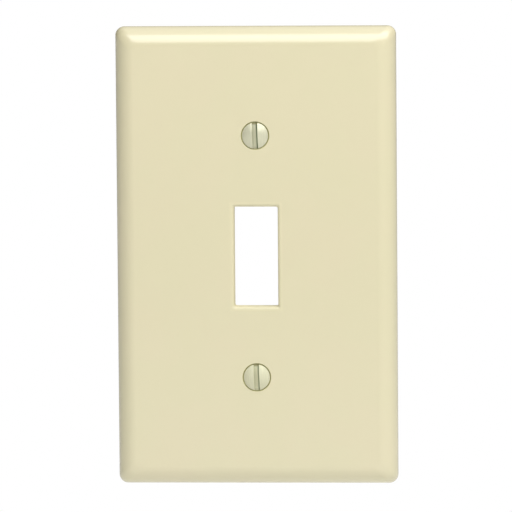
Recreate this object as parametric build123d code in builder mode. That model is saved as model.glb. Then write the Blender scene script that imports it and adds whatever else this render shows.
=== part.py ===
from build123d import *
from math import cos, radians, sin, tan
import os

# One-gang wall plate for a toggle switch, with its two oval-head screws.
# Frame: +X to the right and +Z up as the plate hangs, +Y into the wall. The origin is midway between
# the two screws, on the wall. Heights above the wall are offsets of Plane.XZ, whose normal is -Y.

# Plate, in millimetres
plate_width = 69.85  # 2 3/4 in
plate_height = 114.3  # 4 1/2 in
plate_depth = 5.59  # 0.22 in
corner_radius = 2.2
shoulder_radius = 4.76  # 3/16 in: the quarter round from the side wall in to the flat face
shoulder_sections = 9
face_thickness = 2.2
rim_width = 2.4
cavity_corner_radius = 2.0
cavity_draft = 8.0  # degrees
cavity_fillet = 0.9

# Openings for the toggle and the screws
opening_width = 10.9
opening_height = 24.9
opening_corner_radius = 0.5
opening_edge_radius = 0.8
screw_spacing = 60.325  # 2 3/8 in
screw_hole_radius = 2.0
countersink_radius = 3.6
head_angle = 82.0  # degrees, included

# Stiffening behind the face. The collar and bosses stop above the switch's metal strap.
strap_clearance = 1.8
collar_wall = 1.4
boss_radius = 4.3
rib_clearance = 2.1
rib_width = 1.1
long_rib_spacing = 29.0
near_cross_rib_spacing = 39.0
far_cross_rib_spacing = 98.0
root_overlap = 0.4  # how far ribs, collar and bosses run into the walls they join

# Number 6-32 oval-head slotted screws, 5/8 in long
head_radius = 3.25
head_edge = 0.33
crown_height = 1.1
slot_width = 1.35
slot_depth = 1.35
slot_turns = {"upper_screw": 1.8, "lower_screw": 2.3}  # degrees, counter-clockwise from upright
thread_radius = 1.75
neck_radius = 1.4
neck_length = 1.6  # two pitches, where the thread runs out under the head
screw_length = 15.9
tip_chamfer = 0.45
seat_gap = 0.04  # keeps the head's cone off the countersink

side_height = plate_depth - shoulder_radius
cavity_depth = plate_depth - face_thickness
half_angle = radians(head_angle / 2)
cavity_width = plate_width - 2 * rim_width
cavity_height = plate_height - 2 * rim_width
front = Plane.XZ.offset(plate_depth)

os.makedirs("parts", exist_ok=True)

# Wall plate: one moulded shell
with BuildPart() as wall_plate:
    # straight side wall
    with BuildSketch(Plane.XZ):
        RectangleRounded(plate_width, plate_height, corner_radius)
    extrude(amount=side_height)

    # shoulder: the outline steps in along a quarter circle and keeps its corner radius
    for section in range(shoulder_sections):
        turn = radians(90 * section / (shoulder_sections - 1))
        inset = shoulder_radius * (1 - cos(turn))
        with BuildSketch(Plane.XZ.offset(side_height + shoulder_radius * sin(turn))):
            RectangleRounded(plate_width - 2 * inset, plate_height - 2 * inset, corner_radius)
    loft()

    # hollow back
    with BuildSketch(Plane.XZ):
        RectangleRounded(cavity_width, cavity_height, cavity_corner_radius)
    extrude(amount=cavity_depth, taper=cavity_draft, mode=Mode.SUBTRACT)
    ceiling = wall_plate.faces().filter_by(Axis.Y).sort_by(Axis.Y)[1]
    fillet(ceiling.edges(), radius=cavity_fillet)

    # collar behind the toggle opening and a boss behind each screw hole
    with BuildSketch(Plane.XZ.offset(strap_clearance)):
        Rectangle(opening_width + 2 * collar_wall, opening_height + 2 * collar_wall)
        with GridLocations(0, screw_spacing, 1, 2):
            Circle(boss_radius)
    extrude(amount=cavity_depth + root_overlap - strap_clearance)

    # two long ribs and four cross ribs
    with BuildSketch(Plane.XZ.offset(rib_clearance)):
        with GridLocations(long_rib_spacing, 0, 2, 1):
            Rectangle(rib_width, cavity_height + 2 * root_overlap)
        for spacing in (near_cross_rib_spacing, far_cross_rib_spacing):
            with GridLocations(0, spacing, 1, 2):
                Rectangle(cavity_width + 2 * root_overlap, rib_width)
    extrude(amount=cavity_depth + root_overlap - rib_clearance)

    # toggle opening, with its front edge rounded
    with BuildSketch(Plane.XZ):
        RectangleRounded(opening_width, opening_height, opening_corner_radius)
    extrude(amount=plate_depth, mode=Mode.SUBTRACT)
    face = wall_plate.faces().sort_by(Axis.Y)[0]
    fillet(face.inner_wires()[0].edges(), radius=opening_edge_radius)

    # countersunk screw holes
    with Locations(front):
        with GridLocations(0, screw_spacing, 1, 2):
            CounterSinkHole(screw_hole_radius, countersink_radius, counter_sink_angle=head_angle)
wall_plate.part.label = "wall_plate"
export_step(wall_plate.part, "parts/wall_plate.step")

# Screws: a turned blank with a domed head, then the driver slot.
# The head's edge sits where its cone meets the countersink's, less the seat gap.
head_recess = (countersink_radius - head_radius) / tan(half_angle) - head_edge - seat_gap
edge_height = plate_depth - head_recess
crown_top = edge_height + crown_height
cone_height = edge_height - head_edge
neck_top = cone_height - (head_radius - neck_radius) / tan(half_angle)
thread_top = neck_top - neck_length
tip_height = edge_height - screw_length
lead_in = thread_radius - neck_radius

for label, level in (("upper_screw", screw_spacing / 2), ("lower_screw", -screw_spacing / 2)):
    with BuildPart() as screw:
        # half section: radius along the sketch's x, height above the wall along its y
        with BuildSketch(Plane(origin=(0, 0, level), x_dir=(1, 0, 0), z_dir=(0, 0, -1))):
            with BuildLine():
                TangentArc((0, crown_top), (head_radius, edge_height), tangent=(1, 0))
                Polyline(
                    (head_radius, edge_height),
                    (head_radius, cone_height),
                    (neck_radius, neck_top),
                    (neck_radius, thread_top),
                    (thread_radius, thread_top - lead_in),
                    (thread_radius, tip_height + tip_chamfer),
                    (thread_radius - tip_chamfer, tip_height),
                    (0, tip_height),
                    (0, crown_top),
                )
            make_face()
        revolve(axis=Axis((0, 0, level), (0, 1, 0)))

        with BuildSketch(Plane.XZ.offset(crown_top)):
            with Locations((0, level)):
                Rectangle(slot_width, 3 * head_radius, rotation=slot_turns[label])
        extrude(amount=-slot_depth, mode=Mode.SUBTRACT)
    screw.part.label = label
    export_step(screw.part, f"parts/{label}.step")

print("screws reach", round(-tip_height, 2), "mm behind the wall; head recess", round(head_recess, 3))
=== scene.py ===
import math

import bmesh
import bpy
from bpy.props import FloatProperty, FloatVectorProperty, PointerProperty
from mathutils import Matrix, Vector


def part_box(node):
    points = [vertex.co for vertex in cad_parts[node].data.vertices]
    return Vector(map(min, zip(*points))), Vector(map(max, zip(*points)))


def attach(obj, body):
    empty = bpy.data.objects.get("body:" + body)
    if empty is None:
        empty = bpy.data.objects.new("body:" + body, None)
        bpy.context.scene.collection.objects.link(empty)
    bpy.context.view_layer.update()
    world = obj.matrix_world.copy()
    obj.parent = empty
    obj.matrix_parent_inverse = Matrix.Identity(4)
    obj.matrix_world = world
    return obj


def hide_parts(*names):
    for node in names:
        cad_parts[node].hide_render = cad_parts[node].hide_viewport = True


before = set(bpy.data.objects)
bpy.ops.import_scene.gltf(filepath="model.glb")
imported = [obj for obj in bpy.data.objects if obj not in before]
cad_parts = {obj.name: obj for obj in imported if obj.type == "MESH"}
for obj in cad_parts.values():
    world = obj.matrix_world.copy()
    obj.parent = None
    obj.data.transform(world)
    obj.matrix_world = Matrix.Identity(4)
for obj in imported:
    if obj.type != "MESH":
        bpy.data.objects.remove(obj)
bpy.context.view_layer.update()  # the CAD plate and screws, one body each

bl_info = {
    "name": "Toggle Switch Wall Plate",
    "version": (1, 0, 0),
    "blender": (4, 5, 0),
    "location": "View3D > Sidebar > Wall Plate",
    "description": "Models a moulded wall plate for a toggle switch with its two oval-head screws",
    "category": "Object",
}

# Lengths are metres in the CAD frame: +X right and +Z up as the plate hangs, +Y into the wall,
# with the origin on the wall midway between the screws.
MM = 0.001
PLATE_LOW, PLATE_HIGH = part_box("wall_plate")
SCREW_LOW, SCREW_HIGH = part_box("upper_screw")
PLATE_WIDTH = PLATE_HIGH.x - PLATE_LOW.x
PLATE_HEIGHT = PLATE_HIGH.z - PLATE_LOW.z
PLATE_DEPTH = PLATE_HIGH.y - PLATE_LOW.y
SCREW_LEVEL = (SCREW_LOW.z + SCREW_HIGH.z) / 2
HEAD_RADIUS = (SCREW_HIGH.x - SCREW_LOW.x) / 2
TIP_Y = SCREW_HIGH.y
RIGHT_ANGLE = math.pi / 2
MERGE_DISTANCE = 0.0005 * MM
PAST = 1 * MM  # how far a cutting shape runs past the face it cuts
SMOOTH_ANGLE = math.radians(30)  # edges sharper than this stay sharp
HOLE_SIDES = 96  # sides of the round shapes on the plate
SHANK_SIDES = 72  # sides of the round shapes on a screw


def length(name, description, default):
    """A property that holds a length."""
    return FloatProperty(name=name, description=description, default=default, unit="LENGTH", precision=5)


def angle(name, description, degrees):
    """A property that holds an angle, given in degrees."""
    return FloatProperty(name=name, description=description, default=math.radians(degrees), subtype="ANGLE")


def share(name, description, default):
    """A property from 0 to 1."""
    return FloatProperty(name=name, description=description, default=default, min=0, max=1, subtype="FACTOR")


def colour(name, description, default):
    """A property that holds a linear colour."""
    return FloatVectorProperty(
        name=name, description=description, default=default, size=3, min=0, max=1, subtype="COLOR"
    )


class PlateSizes(bpy.types.PropertyGroup):
    """Sizes of the moulded plate."""

    corner_radius: length("Corner", "Radius of the plate's corners", 2.2 * MM)
    shoulder_radius: length("Shoulder", "Radius from the side wall in to the face", 4.76 * MM)
    face_thickness: length("Face thickness", "Thickness of the flat face", 2.2 * MM)
    rim_width: length("Rim", "Width of the rim that rests on the wall", 2.4 * MM)
    rim_round: length("Rim edge", "Rounding of the rim's two edges", 0.2 * MM)
    cavity_draft: angle("Draft", "Slope of the hollow's walls", 8)
    cavity_fillet: length("Hollow's fillet", "Radius between the hollow's walls and its ceiling", 0.9 * MM)
    opening_width: length("Opening width", "Width of the toggle opening", 10.9 * MM)
    opening_height: length("Opening height", "Height of the toggle opening", 24.9 * MM)
    opening_corner: length("Opening corner", "Corner radius of the toggle opening", 0.5 * MM)
    opening_edge: length("Opening edge", "Rounding of the toggle opening's front edge", 0.8 * MM)
    hole_radius: length("Screw hole", "Radius of the screw holes", 2.0 * MM)
    countersink_radius: length("Countersink", "Radius of the countersinks at the face", 3.6 * MM)
    countersink_edge: length("Countersink edge", "Rounding of the countersinks' edges", 0.12 * MM)
    strap_clearance: length("Collar to wall", "Gap left behind the collar and bosses", 1.8 * MM)
    rib_clearance: length("Ribs to wall", "Gap left behind the ribs", 2.1 * MM)
    rib_width: length("Rib", "Width of a stiffening rib", 1.1 * MM)
    long_rib: length("Long ribs", "Distance of the upright ribs from the plate's centre", 14.5 * MM)
    near_rib: length("Near ribs", "Distance of the inner cross ribs from the plate's centre", 19.5 * MM)
    far_rib: length("Far ribs", "Distance of the outer cross ribs from the plate's centre", 49 * MM)
    collar_wall: length("Collar wall", "Width of the collar around the opening", 1.4 * MM)
    boss_radius: length("Boss", "Radius of the boss around a screw hole", 4.3 * MM)
    root_overlap: length("Root overlap", "How far ribs and bosses run into the walls they join", 0.4 * MM)
    inner_round: length("Inner edges", "Rounding of the ribs', collar's and bosses' edges", 0.25 * MM)


class ScrewSizes(bpy.types.PropertyGroup):
    """Sizes of the oval-head screws."""

    screw_length: length("Length", "From the head's edge to the tip", 15.9 * MM)
    crown_height: length("Crown", "Height of the domed part of the head", 1.1 * MM)
    head_edge: length("Head edge", "Height of the head's straight edge", 0.33 * MM)
    head_angle: angle("Head angle", "Included angle of the head's cone", 82)
    slot_width: length("Slot width", "Width of the driver slot", 1.35 * MM)
    slot_depth: length("Slot depth", "Depth of the slot under the crown", 1.35 * MM)
    edge_round: length("Worn edges", "Rounding of the head's and slot's edges", 0.07 * MM)
    neck_radius: length("Neck", "Radius of the plain neck under the head", 1.4 * MM)
    neck_length: length("Neck length", "Length of the plain neck", 1.6 * MM)
    thread_radius: length("Thread", "Outside radius of the thread", 1.75 * MM)
    thread_pitch: length("Pitch", "Travel for each turn, at 32 threads to the inch", 25.4 / 32 * MM)
    root_radius: length("Thread root", "Radius at the root of the thread", 1.28 * MM)
    crest_width: length("Crest", "Width of the flat on the thread's crest", 0.1 * MM)
    tip_chamfer: length("Tip", "Chamfer on the screw's tip", 0.45 * MM)
    upper_slot_turn: angle("Upper slot", "How far the upper slot leans from upright", 1.8)
    lower_slot_turn: angle("Lower slot", "How far the lower slot leans from upright", 2.3)


class Finishes(bpy.types.PropertyGroup):
    """Colours and gloss of the plastic, the enamel and the plated steel."""

    ivory: colour("Ivory", "Colour of the moulded plastic", (0.7, 0.65, 0.43))
    ivory_warm: colour("Warm ivory", "Warmer tone of the plastic's faint clouding", (0.707, 0.647, 0.434))
    specks: colour("Specks", "Colour of the filler's fine specks in the plastic", (0.55, 0.47, 0.3))
    speck_strength: share("Speck strength", "How strongly the specks show", 0.1)
    # painted shade for the gap round each screw head
    gap_shade: colour("Gap shade", "Colour of the dust in the gap round each screw head", (0.4, 0.38, 0.17))
    gloss: share("Plastic roughness", "Roughness of the plastic under its polished skin", 0.36)
    skin: share("Skin", "Strength of the polished skin on the plate's front", 0.8)
    edge_wear: share("Edge wear", "How much of the skin is worn off round the opening", 1.0)
    skin_gloss: share("Skin roughness", "Roughness of the polished skin", 0.08)
    back_gloss: share("Back roughness", "Roughness of the plate's hollow back", 0.5)
    enamel: colour("Enamel", "Colour of the enamel on the screw heads", (0.68, 0.665, 0.465))
    # painted shade for the slots' ends
    slot_end_shade: colour("Slot dust", "Colour of the dust in the slots' ends", (0.22, 0.2, 0.06))
    # painted shade and shadow for the slots' corners
    slot_corner_shade: colour("Corner shade", "Colour of the grime in the slots' corners", (0.15, 0.19, 0.1))
    zinc: colour("Zinc", "Colour of the plated steel under the enamel", (0.55, 0.56, 0.5))
    enamel_gloss: share("Enamel roughness", "Roughness of the enamel", 0.42)
    thin_enamel: share("Thin enamel", "How much zinc shows through the enamel of the upper head", 0.18)


class StageSettings(bpy.types.PropertyGroup):
    """Camera and lights."""

    camera_distance: length("Camera distance", "Distance from the camera to the plate", 1.5)
    camera_turn: angle("Camera turn", "How far to the right of the plate the camera stands", 3.832)
    camera_tilt: angle("Camera tilt", "How far the camera looks down", 5.374)
    camera_roll: angle("Camera roll", "How far the camera leans", 0.443)
    camera_lens: FloatProperty(
        name="Lens", description="Focal length in millimetres", default=422.93, unit="CAMERA"
    )
    aim_side: length("Aim side", "Where the camera looks, to the right of the plate's centre", -0.355 * MM)
    aim_up: length("Aim height", "Where the camera looks, above the plate's centre", -0.325 * MM)
    key_turn: angle("Key turn", "How far to the right of the plate the key light stands", 21)
    key_rise: angle("Key height", "How far above the plate the key light stands", 50)
    key_distance: length("Key distance", "Distance from the key light to the plate", 0.75)
    key_width: length("Key width", "Width of the key light", 1.12)
    key_height: length("Key depth", "Height of the key light", 0.63)
    key_power: FloatProperty(
        name="Key power", description="Power of the key light", default=7.2, unit="POWER"
    )
    room_front: share("Room", "Brightness of the room in front of the plate", 0.12)
    room_back: share("Surround", "Brightness behind the plate", 0.5)
    room_tint: colour("Surround tint", "Colour of the light from behind the plate", (1, 0.93, 0.7))
    room_top: share("Ceiling", "Brightness overhead", 0.8)
    room_left: share("Left side", "How much of that light the room's left side gives", 0.05)
    floor_drop: length("Floor", "Gap between the hanging plate and the floor", 60 * MM)
    floor_tone: share("Floor tone", "How pale the floor is", 0.95)


# Modelling helpers. Each works on the active object, in the mode that its comment names.


def deselect_all():
    """In object mode, so that the next operator acts on the next shape alone."""
    bpy.ops.object.select_all(action="DESELECT")


def choose(piece):
    """In object mode: select one object alone and make it active."""
    deselect_all()
    piece.select_set(True)
    bpy.context.view_layer.objects.active = piece


def modify(piece, kind, **settings):
    """In object mode: add a modifier to the piece, set it up and apply it."""
    choose(piece)
    bpy.ops.object.modifier_add(type=kind)
    modifier = piece.modifiers[-1]
    for setting, value in settings.items():
        setattr(modifier, setting, value)
    bpy.ops.object.modifier_apply(modifier=modifier.name)


def place_in_mesh():
    """In object mode: move the active object's place, turn and scale into its mesh."""
    bpy.ops.object.transform_apply(location=True, rotation=True, scale=True)


def edit(kind):
    """Enter edit mode, choosing VERT, EDGE or FACE."""
    bpy.ops.object.mode_set(mode="EDIT")
    bpy.ops.mesh.select_mode(type=kind)
    bpy.ops.mesh.select_all(action="DESELECT")


def leave_edit():
    """Back to object mode."""
    bpy.ops.object.mode_set(mode="OBJECT")
    return bpy.context.object


def pick(kind, test):
    """In edit mode: select exactly the verts, edges or faces that pass the test."""
    bpy.ops.mesh.select_all(action="DESELECT")
    mesh = bpy.context.object.data
    shape = bmesh.from_edit_mesh(mesh)
    for item in getattr(shape, kind):
        if test(item):
            item.select_set(True)
    bmesh.update_edit_mesh(mesh)


def along_y(edge):
    """Does the edge run along Y?"""
    direction = edge.verts[0].co - edge.verts[1].co
    return abs(direction.normalized().y) > 0.99


def faces_room(face):
    """Does the face look out into the room?"""
    return face.normal.y < -0.99


def faces_wall(face):
    """Does the face look towards the wall?"""
    return face.normal.y > 0.99


def arc(radius, start, end, steps):
    """Offsets from an arc's first point to its others, as (across, along), for an arc that leaves the
    direction at angle start from the Y axis and turns to the one at angle end."""
    angles = [start + (end - start) * step / steps for step in range(1, steps + 1)]
    return [
        (radius * (math.cos(start) - math.cos(turn)), radius * (math.sin(turn) - math.sin(start)))
        for turn in angles
    ]


def extrude_through(path, width, height, centre=(0, 0)):
    """In edit mode: extrude the selected end face through (inset, y) points. width and height are the
    starting outline's, and centre is its centre's x and z."""
    shape = bmesh.from_edit_mesh(bpy.context.object.data)
    last_y = next(face for face in shape.faces if face.select).calc_center_median().y
    last_inset = 0.0
    for inset, y in path:
        bpy.ops.mesh.extrude_region_move(TRANSFORM_OT_translate={"value": (0, y - last_y, 0)})
        bpy.ops.transform.resize(
            value=(
                (width - 2 * inset) / (width - 2 * last_inset),
                1,
                (height - 2 * inset) / (height - 2 * last_inset),
            ),
            center_override=(centre[0], y, centre[1]),
        )
        last_inset, last_y = inset, y


def block(width, height, front_y, back_y, corner=0.0, centre=(0, 0)):
    """A block from front_y to back_y, with its edges along Y rounded to the corner radius."""
    deselect_all()
    bpy.ops.mesh.primitive_cube_add(
        size=1,
        location=(centre[0], (front_y + back_y) / 2, centre[1]),
        scale=(width, back_y - front_y, height),
    )
    place_in_mesh()
    edit("EDGE")
    if corner:
        pick("edges", along_y)
        bpy.ops.mesh.bevel(offset=corner, offset_type="OFFSET", segments=14, affect="EDGES")
    bpy.ops.mesh.select_mode(type="FACE")
    return bpy.context.object


def rod(radius, front_y, back_y, level, sides=HOLE_SIDES):
    """A round bar along Y from front_y to back_y."""
    deselect_all()
    bpy.ops.mesh.primitive_cylinder_add(
        vertices=sides,
        radius=radius,
        depth=back_y - front_y,
        location=(0, (front_y + back_y) / 2, level),
        rotation=(RIGHT_ANGLE, 0, 0),
    )
    place_in_mesh()
    edit("FACE")
    return bpy.context.object


def combine(target, tool, operation):
    """In object mode: apply a Boolean with another shape, which is used up."""
    modify(target, "BOOLEAN", operation=operation, solver="EXACT", object=tool)
    bpy.data.objects.remove(tool)


def finish_piece(piece, name):
    """In object mode: clean the mesh, shade it and name it. Broad flat faces keep flat normals."""
    choose(piece)
    edit("VERT")
    bpy.ops.mesh.select_all(action="SELECT")
    bpy.ops.mesh.remove_doubles(threshold=MERGE_DISTANCE)
    bpy.ops.mesh.normals_make_consistent(inside=False)
    leave_edit()
    bpy.ops.object.shade_smooth_by_angle(angle=SMOOTH_ANGLE)
    modify(piece, "WEIGHTED_NORMAL", keep_sharp=True)
    piece.name = piece.data.name = name
    return piece


# Materials


class Socket:
    """A node's output that arithmetic can be written with: each operator adds its Math node."""

    def __init__(self, nodes, link):
        self.nodes = nodes
        self.link = link

    def math(self, operation, first, second):
        return self.nodes.add("ShaderNodeMath", {"operation": operation}, {0: first, 1: second})

    def __add__(self, other):
        return self.math("ADD", self, other)

    def __sub__(self, other):
        return self.math("SUBTRACT", self, other)

    def __rsub__(self, other):
        return self.math("SUBTRACT", other, self)

    def __mul__(self, other):
        return self.math("MULTIPLY", self, other)

    def __lt__(self, other):
        return self.math("LESS_THAN", self, other)

    def __gt__(self, other):
        return self.math("GREATER_THAN", self, other)

    def __abs__(self):
        return self.math("ABSOLUTE", self, 0.0)

    __radd__ = __add__
    __rmul__ = __mul__


class Nodes:
    """The node tree of a material or the world."""

    def __init__(self, owner):
        owner.use_nodes = True
        self.tree = owner.node_tree
        self.tree.nodes.clear()

    def add(self, kind, settings=None, inputs=None, output=0):
        """Add a node, set it up, fill its sockets with values or links, and return an output."""
        node = self.tree.nodes.new(kind)
        for key, value in (settings or {}).items():
            setattr(node, key, value)
        for key, value in (inputs or {}).items():
            if isinstance(value, Socket):
                self.tree.links.new(value.link, node.inputs[key])
            else:
                node.inputs[key].default_value = value
        return Socket(self, node.outputs[output]) if len(node.outputs) else None

    def place(self):
        """Object coordinates, in metres."""
        return self.add("ShaderNodeTexCoord", output="Object")

    def split(self, vector):
        """A vector's three parts."""
        parts = self.add("ShaderNodeSeparateXYZ", {}, {0: vector})
        return [Socket(self, output) for output in parts.link.node.outputs]

    def stretch(self, vector, factors):
        """A vector multiplied along each axis, which draws a pattern out along an axis of small factor."""
        return self.add("ShaderNodeVectorMath", {"operation": "MULTIPLY"}, {0: vector, 1: factors})

    def noise(self, vector, scale, detail=2.0):
        """Noise from 0 to 1."""
        return self.add(
            "ShaderNodeTexNoise", {}, {"Vector": vector, "Scale": scale, "Detail": detail}, "Fac"
        )

    def ramp(self, value, none_at, full_at):
        """0 where the value is none_at, 1 where it is full_at, and a smooth step between them. Either may
        be the larger."""
        settings = {"interpolation_type": "SMOOTHSTEP", "clamp": True}
        return self.add("ShaderNodeMapRange", settings, {"Value": value, 1: none_at, 2: full_at})

    def blend(self, mask, first, second):
        """The first colour where the mask is 0, the second where it is 1."""
        first, second = (c if isinstance(c, Socket) else (*c, 1) for c in (first, second))
        # for colours, the Mix node has its inputs at 6 and 7 and its output at 2
        return self.add("ShaderNodeMix", {"data_type": "RGBA"}, {0: mask, 6: first, 7: second}, 2)


def ivory_plastic(finishes, sizes):
    """Polished ivory moulding: faint clouding, fine filler specks, and a duller hollow back."""
    material = bpy.data.materials.new("ivory_plastic")
    nodes = Nodes(material)
    place = nodes.place()
    clouds = nodes.ramp(nodes.noise(place, scale=70, detail=3.0), 0.35, 0.7)
    specks = nodes.ramp(nodes.noise(place, scale=2600, detail=1.0), 0.66, 0.8)
    tone = nodes.blend(clouds, finishes.ivory, finishes.ivory_warm)
    tone = nodes.blend(specks * finishes.speck_strength, tone, finishes.specks)

    x, y, z = nodes.split(place)
    inside_width = abs(x) < PLATE_WIDTH / 2 - sizes.rim_width + sizes.rim_round
    inside_height = abs(z) < PLATE_HEIGHT / 2 - sizes.rim_width + sizes.rim_round
    just_before_ceiling = PLATE_LOW.y + sizes.face_thickness - 0.3 * MM
    behind_face = y > just_before_ceiling
    back = inside_width * inside_height * behind_face

    # painted shade: the narrow gap round each screw head is darkened where shade falls between head and
    # countersink
    from_screw = nodes.add("ShaderNodeCombineXYZ", {}, {0: x, 1: abs(z) - SCREW_LEVEL})
    radius = nodes.add("ShaderNodeVectorMath", {"operation": "LENGTH"}, {0: from_screw}, "Value")
    below_face = nodes.ramp(y, PLATE_LOW.y + 0.02 * MM, PLATE_LOW.y + 0.12 * MM)
    outside_head = nodes.ramp(radius, HEAD_RADIUS - 0.1 * MM, HEAD_RADIUS)
    in_gap = (radius < sizes.countersink_radius + sizes.countersink_edge) * outside_head * below_face
    tone = nodes.blend(in_gap * (1 - back), tone, finishes.gap_shade)

    # the polished skin is worn off round the opening's edge, and fades in beyond it
    fade = 0.6 * MM
    worn_width = sizes.opening_width / 2 + sizes.opening_edge
    worn_height = sizes.opening_height / 2 + sizes.opening_edge
    near_sides = nodes.ramp(abs(x), worn_width + fade, worn_width)
    near_ends = nodes.ramp(abs(z), worn_height + fade, worn_height)
    worn = near_sides * near_ends * finishes.edge_wear

    # handling leaves faint duller patches, the worn edge is duller, and the back is matt and coarser
    handling = nodes.noise(place, scale=160, detail=4.0)
    roughness = finishes.gloss - 0.03 + 0.06 * handling + 0.15 * worn
    roughness = roughness + back * (finishes.back_gloss - finishes.gloss)
    texture = nodes.noise(place, scale=900, detail=2.0) * (1 + 3 * back)
    relief = nodes.add(
        "ShaderNodeBump", {}, {"Strength": 0.25, "Distance": 0.004 * MM, "Height": texture}
    )
    surface = nodes.add(
        "ShaderNodeBsdfPrincipled",
        {},
        {
            "Base Color": tone,
            "Roughness": roughness,
            "IOR": 1.55,
            "Coat Weight": finishes.skin * (1 - back) * (1 - worn),
            "Coat Roughness": finishes.skin_gloss,
            "Normal": relief,
        },
    )
    nodes.add("ShaderNodeOutputMaterial", {}, {"Surface": surface})
    return material


def screw_finish(finishes, sizes):
    """Ivory enamel on the head, over zinc-plated steel that is bare on the neck and thread."""
    material = bpy.data.materials.new("enamelled_screw")
    nodes = Nodes(material)
    place = nodes.place()
    x, y, z = nodes.split(place)
    edge_y = TIP_Y - sizes.screw_length
    under_head_y = edge_y + sizes.head_edge
    bare = nodes.ramp(y, under_head_y + 0.2 * MM, under_head_y + 0.9 * MM)
    streaks = nodes.noise(nodes.stretch(place, (6, 1, 0.5)), scale=900, detail=3.0)
    grain = nodes.noise(place, scale=2500, detail=2.0)
    darker_enamel = tuple(0.93 * part for part in finishes.enamel)
    enamel = nodes.blend(nodes.ramp(streaks, 0.35, 0.65), finishes.enamel, darker_enamel)

    # the enamel is thinner on the upper head, and zinc shows through it a little
    upper = z > 0.0
    zinc_showing = bare + (1 - bare) * upper * finishes.thin_enamel
    tone = nodes.blend(zinc_showing, enamel, finishes.zinc)

    # painted shade over the slot's floor, deepest in its corners, with a painted shadow along the right-hand
    # wall that is strongest on the upper head
    height = z - SCREW_LEVEL * (2 * upper - 1)
    across = x + height * math.tan((sizes.upper_slot_turn + sizes.lower_slot_turn) / 2)
    half_slot = sizes.slot_width / 2
    corner = nodes.ramp(abs(across), half_slot - 0.55 * MM, half_slot - 0.25 * MM)
    in_slot = (abs(across) < half_slot + 0.03 * MM) * (y > edge_y + 0.05 * MM)
    painted_corner_shade = in_slot * (0.05 + corner * (0.1 + 0.55 * (across > 0.0) * (1 + 0.5 * upper))) * (1 - bare)
    tone = nodes.blend(painted_corner_shade, tone, finishes.slot_corner_shade)

    # painted shade in the slot's ends, where they open on the countersink, most in the upper one
    clear_of_end, in_end = HEAD_RADIUS - 0.7 * MM, HEAD_RADIUS - 0.2 * MM
    upper_end = nodes.ramp(height, clear_of_end, in_end)
    lower_end = nodes.ramp(-1 * height, clear_of_end, in_end)
    painted_shade = in_slot * (0.75 * upper_end + 0.3 * lower_end) * (1 - bare)
    tone = nodes.blend(painted_shade, tone, finishes.slot_end_shade)

    # the lower head is the duller of the two
    roughness = finishes.enamel_gloss - 0.05 + 0.1 * streaks + 0.04 * grain + 0.14 * (1 - upper)
    relief = nodes.add(
        "ShaderNodeBump", {}, {"Strength": 0.3, "Distance": 0.006 * MM, "Height": streaks + grain}
    )
    surface = nodes.add(
        "ShaderNodeBsdfPrincipled",
        {},
        {
            "Base Color": tone,
            "Roughness": roughness,
            "Metallic": 0.1 + 0.85 * zinc_showing,
            "Normal": relief,
        },
    )
    nodes.add("ShaderNodeOutputMaterial", {}, {"Surface": surface})
    return material


# Pieces


def plate_shell(sizes):
    """The hollow moulding without its ribs and holes, drawn out from one block."""
    side = PLATE_DEPTH - sizes.shoulder_radius
    ceiling = PLATE_DEPTH - sizes.face_thickness
    edge = sizes.rim_round
    shell = block(PLATE_WIDTH, PLATE_HEIGHT, -side, -edge, sizes.corner_radius)

    pick("faces", faces_room)
    shoulder = arc(sizes.shoulder_radius, 0, RIGHT_ANGLE, steps=28)
    extrude_through([(inset, -side - rise) for inset, rise in shoulder], PLATE_WIDTH, PLATE_HEIGHT)

    # the rim's outer edge, its inner edge, the hollow's sloped wall and the fillet to the ceiling
    round_edge = arc(edge, 0, RIGHT_ANGLE, steps=4)
    rim_inner = sizes.rim_width - edge
    wall_depth = ceiling - sizes.cavity_fillet
    wall_inset = sizes.rim_width + wall_depth * math.tan(sizes.cavity_draft)
    fillet = arc(sizes.cavity_fillet, 0, RIGHT_ANGLE, steps=8)
    path = [(inset, -edge + rise) for inset, rise in round_edge]
    path += [(rim_inner, 0)]
    path += [(rim_inner + rise, -inset) for inset, rise in round_edge]
    path += [(wall_inset, -wall_depth)]
    path += [(wall_inset + inset, -wall_depth - rise) for inset, rise in fillet]
    pick("faces", faces_wall)
    extrude_through(path, PLATE_WIDTH, PLATE_HEIGHT)
    leave_edit()
    return shell


def round_back_edge(sizes, width, height, centre=(0, 0)):
    """In edit mode: round the edge of a block's or rod's face towards the wall, and leave edit mode."""
    pick("faces", faces_wall)
    shape = bmesh.from_edit_mesh(bpy.context.object.data)
    back_y = next(face for face in shape.faces if face.select).calc_center_median().y
    points = arc(sizes.inner_round, 0, RIGHT_ANGLE, steps=5)
    extrude_through([(inset, back_y + rise) for inset, rise in points], width, height, centre)
    return leave_edit()


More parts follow.
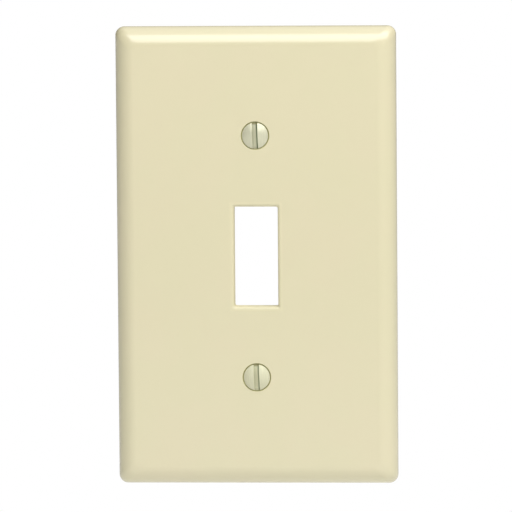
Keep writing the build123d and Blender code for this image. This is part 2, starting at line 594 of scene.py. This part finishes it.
def stiffening(sizes):
    """The ribs, the collar around the opening and the boss at each screw hole."""
    ceiling = PLATE_DEPTH - sizes.face_thickness
    root_y = -ceiling - sizes.root_overlap
    rib_y = -sizes.rib_clearance - sizes.inner_round
    collar_y = -sizes.strap_clearance - sizes.inner_round
    hollow_width = PLATE_WIDTH - 2 * sizes.rim_width + 2 * sizes.root_overlap
    hollow_height = PLATE_HEIGHT - 2 * sizes.rim_width + 2 * sizes.root_overlap

    ribs = [(sizes.rib_width, hollow_height, (side * sizes.long_rib, 0)) for side in (-1, 1)]
    for level in (sizes.near_rib, sizes.far_rib):
        ribs += [(hollow_width, sizes.rib_width, (0, side * level)) for side in (-1, 1)]
    for width, height, centre in ribs:
        block(width, height, root_y, rib_y, centre=centre)
        yield round_back_edge(sizes, width, height, centre)

    width = sizes.opening_width + 2 * sizes.collar_wall
    height = sizes.opening_height + 2 * sizes.collar_wall
    block(width, height, root_y, collar_y, sizes.opening_corner + sizes.collar_wall / 2)
    yield round_back_edge(sizes, width, height)
    for level in (SCREW_LEVEL, -SCREW_LEVEL):
        rod(sizes.boss_radius, root_y, collar_y, level)
        yield round_back_edge(sizes, 2 * sizes.boss_radius, 2 * sizes.boss_radius, (0, level))


def opening_cutter(sizes):
    """What is cut away for the toggle opening, flared where the front edge is rounded."""
    edge = sizes.opening_edge
    throat_y = -PLATE_DEPTH + edge
    cutter = block(sizes.opening_width, sizes.opening_height, throat_y, PAST, sizes.opening_corner)
    path = [(-inset, throat_y - rise) for inset, rise in arc(edge, 0, RIGHT_ANGLE, steps=10)]
    path += [(-edge, -PLATE_DEPTH - PAST)]
    pick("faces", faces_room)
    extrude_through(path, sizes.opening_width, sizes.opening_height)
    leave_edit()
    return cutter


def hole_cutter(sizes, head_angle, level):
    """What is cut away for a screw hole, its countersink and the rounding of its edge."""
    half = head_angle / 2
    edge = sizes.countersink_edge
    flat_radius = sizes.countersink_radius + edge * math.tan((RIGHT_ANGLE - half) / 2)
    rounding = arc(edge, half, RIGHT_ANGLE, steps=4)
    across, along = rounding[-1]
    cone_radius, cone_y = flat_radius - across, -PLATE_DEPTH + along
    hole_y = cone_y + (cone_radius - sizes.hole_radius) / math.tan(half)
    cutter = rod(sizes.hole_radius, hole_y, PAST, level)
    path = [(cone_radius, cone_y)]
    path += [(cone_radius + out, cone_y - rise) for out, rise in rounding]
    path += [(flat_radius, -PLATE_DEPTH - PAST)]
    pick("faces", faces_room)
    hole = sizes.hole_radius
    extrude_through([(hole - radius, y) for radius, y in path], 2 * hole, 2 * hole, (0, level))
    leave_edit()
    return cutter


class WALLPLATE_OT_plate(bpy.types.Operator):
    """Model the moulded plate"""

    bl_idname = "wallplate.plate"
    bl_label = "Moulded plate"

    def execute(self, context):
        sizes = context.scene.plate_sizes
        plate = plate_shell(sizes)
        for shape in list(stiffening(sizes)):
            combine(plate, shape, "UNION")
        combine(plate, opening_cutter(sizes), "DIFFERENCE")
        for level in (SCREW_LEVEL, -SCREW_LEVEL):
            combine(plate, hole_cutter(sizes, context.scene.screw_sizes.head_angle, level), "DIFFERENCE")
        finish_piece(plate, "moulded_plate")
        plate.data.materials.append(ivory_plastic(context.scene.finishes, sizes))
        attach(plate, "plate")
        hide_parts("wall_plate")
        return {"FINISHED"}


def screw_head(sizes):
    """The domed and slotted head with the plain neck under it, and the level where the thread starts."""
    half = sizes.head_angle / 2
    edge_y = TIP_Y - sizes.screw_length
    crown_y = edge_y - sizes.crown_height
    cone_y = edge_y + sizes.head_edge
    neck_y = cone_y + (HEAD_RADIUS - sizes.neck_radius) / math.tan(half)
    thread_y = neck_y + sizes.neck_length
    lead_in = sizes.thread_radius - sizes.neck_radius
    head = rod(sizes.neck_radius, neck_y, thread_y + lead_in / 2, SCREW_LEVEL, SHANK_SIDES)

    dome_radius = (HEAD_RADIUS**2 + sizes.crown_height**2) / (2 * sizes.crown_height)
    dome_angle = math.asin(HEAD_RADIUS / dome_radius)
    rings = 16
    turns = [dome_angle * (1 - ring / (rings + 0.5)) for ring in range(1, rings + 1)]
    path = [(HEAD_RADIUS, cone_y), (HEAD_RADIUS, edge_y)]
    path += [(dome_radius * math.sin(t), crown_y + dome_radius * (1 - math.cos(t))) for t in turns]
    pick("faces", faces_room)
    neck = sizes.neck_radius
    extrude_through([(neck - radius, y) for radius, y in path], 2 * neck, 2 * neck, (0, SCREW_LEVEL))
    leave_edit()

    slot = block(
        sizes.slot_width,
        3 * HEAD_RADIUS,
        crown_y - PAST,
        crown_y + sizes.slot_depth,
        centre=(0, SCREW_LEVEL),
    )
    leave_edit()
    combine(head, slot, "DIFFERENCE")
    sharp = math.radians(35)
    modify(head, "BEVEL", width=sizes.edge_round, segments=3, limit_method="ANGLE", angle_limit=sharp)
    return head, thread_y


def screw_thread(sizes, start_y):
    """The threaded shank: one tooth's outline turned round the axis, then trimmed to a bar that widens from
    inside the neck and has the tip's chamfer."""
    steps_per_turn = 48
    turns_early = 1.5  # starts and ends beyond the bar, so that both closing faces are trimmed off
    flank_angle = math.radians(30)
    depth = sizes.thread_radius - sizes.root_radius
    flank = depth * math.tan(flank_angle)
    root_width = sizes.thread_pitch - sizes.crest_width - 2 * flank
    outline = [(0, root_width), (depth, flank), (0, sizes.crest_width), (-depth, flank)]
    turns = math.ceil((TIP_Y - start_y) / sizes.thread_pitch + 2 * turns_early)

    deselect_all()
    bpy.ops.mesh.primitive_plane_add(size=MM, location=(0, 0, 0))
    thread = bpy.context.object
    edit("VERT")
    bpy.ops.mesh.select_all(action="SELECT")
    bpy.ops.mesh.merge(type="CENTER")
    bpy.ops.transform.translate(value=(sizes.root_radius, start_y - turns_early * sizes.thread_pitch, 0))
    for across, along in outline:
        bpy.ops.mesh.extrude_region_move(TRANSFORM_OT_translate={"value": (across, along, 0)})
    leave_edit()
    modify(
        thread,
        "SCREW",
        axis="Y",
        steps=steps_per_turn,
        render_steps=steps_per_turn,
        screw_offset=sizes.thread_pitch,
        iterations=turns,
    )
    edit("VERT")
    bpy.ops.mesh.select_all(action="SELECT")
    bpy.ops.mesh.remove_doubles(threshold=MERGE_DISTANCE)
    bpy.ops.mesh.fill_holes(sides=0)
    bpy.ops.mesh.select_all(action="SELECT")
    bpy.ops.mesh.normals_make_consistent(inside=False)
    leave_edit()
    thread.location.z = SCREW_LEVEL
    place_in_mesh()

    inside_neck = sizes.neck_radius - 0.03 * MM
    blank = rod(inside_neck, start_y - 0.2 * MM, start_y, SCREW_LEVEL, SHANK_SIDES)
    path = [
        (sizes.thread_radius, start_y + sizes.thread_radius - inside_neck),
        (sizes.thread_radius, TIP_Y - sizes.tip_chamfer),
        (sizes.thread_radius - sizes.tip_chamfer, TIP_Y),
    ]
    pick("faces", faces_wall)
    path = [(inside_neck - radius, y) for radius, y in path]
    extrude_through(path, 2 * inside_neck, 2 * inside_neck, (0, SCREW_LEVEL))
    leave_edit()
    combine(thread, blank, "INTERSECT")
    return thread


class WALLPLATE_OT_screws(bpy.types.Operator):
    """Model one oval-head screw and copy it"""

    bl_idname = "wallplate.screws"
    bl_label = "Oval-head screws"

    def execute(self, context):
        sizes = context.scene.screw_sizes
        material = screw_finish(context.scene.finishes, sizes)
        head, thread_y = screw_head(sizes)
        combine(head, screw_thread(sizes, thread_y), "UNION")
        upper = finish_piece(head, "upper_oval_head_screw")
        upper.data.materials.append(material)
        choose(upper)
        bpy.ops.object.duplicate()
        lower = context.object
        lower.name = lower.data.name = "lower_oval_head_screw"
        to_lower = Matrix.Translation((0, 0, -2 * SCREW_LEVEL))
        for screw, node, turn, move in (
            (upper, "upper_screw", sizes.upper_slot_turn, Matrix.Identity(4)),
            (lower, "lower_screw", sizes.lower_slot_turn, to_lower),
        ):
            centre = Vector((0, 0, SCREW_LEVEL))
            about = Matrix.Translation(centre) @ Matrix.Rotation(-turn, 4, "Y") @ Matrix.Translation(-centre)
            choose(screw)
            screw.matrix_world = move @ about
            place_in_mesh()
            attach(screw, node)
            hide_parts(node)
        return {"FINISHED"}


# Stage


class WALLPLATE_OT_stage(bpy.types.Operator):
    """Set up the floor, the lights and the camera"""

    bl_idname = "wallplate.stage"
    bl_label = "Stage"

    def execute(self, context):
        stage = context.scene.stage_settings
        self.floor(stage)
        self.room(context.scene, stage)
        self.key_light(stage)
        self.camera(context.scene, stage)
        return {"FINISHED"}

    def floor(self, stage):
        """A wide pale floor under the hanging plate."""
        deselect_all()
        bpy.ops.mesh.primitive_plane_add(size=30, location=(0, 0, PLATE_LOW.z - stage.floor_drop))
        floor = bpy.context.object
        floor.name = "floor"
        material = bpy.data.materials.new("pale_floor")
        nodes = Nodes(material)
        tone = stage.floor_tone
        seen = nodes.add("ShaderNodeLightPath", output="Is Camera Ray")
        matte = nodes.add("ShaderNodeBsdfDiffuse", {}, {"Color": (tone, tone, tone, 1)})
        bright = nodes.add("ShaderNodeEmission", {}, {"Color": (1, 1, 1, 1), "Strength": 1.0})
        surface = nodes.add("ShaderNodeMixShader", {}, {0: seen, 1: matte, 2: bright})
        nodes.add("ShaderNodeOutputMaterial", {}, {"Surface": surface})
        floor.data.materials.append(material)

    def room(self, scene, stage):
        """Soft light from overhead, in front and behind, weaker from the room's left side."""
        world = bpy.data.worlds.new("room")
        scene.world = world
        nodes = Nodes(world)
        direction = nodes.add("ShaderNodeTexCoord", output="Generated")
        x, y, z = nodes.split(direction)
        # each direction has a length of 1, so its z is the sine of its height above the horizon
        behind = nodes.ramp(y, 0.1, 0.45)
        ceiling_starts, ceiling_full = math.sin(math.radians(32)), math.sin(math.radians(48))
        overhead = nodes.ramp(z, ceiling_starts, ceiling_full)
        front, top = ((level,) * 3 for level in (stage.room_front, stage.room_top))
        back = tuple(stage.room_back * part for part in stage.room_tint)
        seen = nodes.add("ShaderNodeLightPath", output="Is Camera Ray")
        around = nodes.blend(overhead, nodes.blend(behind, front, back), top)
        side = stage.room_left + (1 - stage.room_left) * nodes.ramp(x, -0.7, 0.1)
        tone = nodes.blend(seen, nodes.blend(side, (0, 0, 0), around), (1, 1, 1))
        glow = nodes.add("ShaderNodeBackground", {}, {"Color": tone})
        nodes.add("ShaderNodeOutputWorld", {}, {"Surface": glow})

    def key_light(self, stage):
        """A large soft box above and to the right."""
        flat = math.cos(stage.key_rise)
        away = Vector((
            math.sin(stage.key_turn) * flat,
            -math.cos(stage.key_turn) * flat,
            math.sin(stage.key_rise),
        ))
        deselect_all()
        bpy.ops.object.light_add(
            type="AREA",
            location=away * stage.key_distance,
            rotation=away.to_track_quat("Z", "Y").to_euler(),
        )
        light = bpy.context.object
        light.name = "key_light"
        light.data.shape = "RECTANGLE"
        light.data.size = stage.key_width
        light.data.size_y = stage.key_height
        light.data.energy = stage.key_power

    def camera(self, scene, stage):
        """The camera, a little above and to the right of the plate's centre."""
        turned = Matrix.Rotation(stage.camera_turn, 3, "Z") @ Matrix.Rotation(stage.camera_roll, 3, "Y")
        looking = turned @ Matrix.Rotation(RIGHT_ANGLE - stage.camera_tilt, 3, "X")
        aim = Vector((stage.aim_side, 0, stage.aim_up))
        deselect_all()
        bpy.ops.object.camera_add(
            location=aim + looking @ Vector((0, 0, stage.camera_distance)),
            rotation=looking.to_euler(),
        )
        camera = bpy.context.object
        camera.data.sensor_width = 36
        camera.data.lens = stage.camera_lens
        camera.data.clip_start = 0.01
        camera.data.clip_end = 100
        scene.camera = camera
        scene.view_settings.view_transform = "Standard"


class WALLPLATE_PT_panel(bpy.types.Panel):
    """Buttons for the pieces and the stage"""

    bl_idname = "WALLPLATE_PT_panel"
    bl_label = "Wall Plate"
    bl_space_type = "VIEW_3D"
    bl_region_type = "UI"
    bl_category = "Wall Plate"

    def draw(self, context):
        for operator in OPERATORS:
            self.layout.operator(operator.bl_idname)


OPERATORS = (WALLPLATE_OT_plate, WALLPLATE_OT_screws, WALLPLATE_OT_stage)
GROUPS = {
    "plate_sizes": PlateSizes,
    "screw_sizes": ScrewSizes,
    "finishes": Finishes,
    "stage_settings": StageSettings,
}


def register():
    """Make the classes and the scene's settings known to Blender."""
    for cls in (*GROUPS.values(), *OPERATORS, WALLPLATE_PT_panel):
        bpy.utils.register_class(cls)
    for name, group in GROUPS.items():
        setattr(bpy.types.Scene, name, PointerProperty(type=group))


def unregister():
    """Undo register()."""
    for name in GROUPS:
        delattr(bpy.types.Scene, name)
    for cls in reversed((*GROUPS.values(), *OPERATORS, WALLPLATE_PT_panel)):
        bpy.utils.unregister_class(cls)


def main():
    """Build everything: register the classes, then model the plate and the screws and set up the stage."""
    register()
    bpy.ops.wallplate.plate()
    bpy.ops.wallplate.screws()
    bpy.ops.wallplate.stage()


if __name__ == "__main__":
    main()
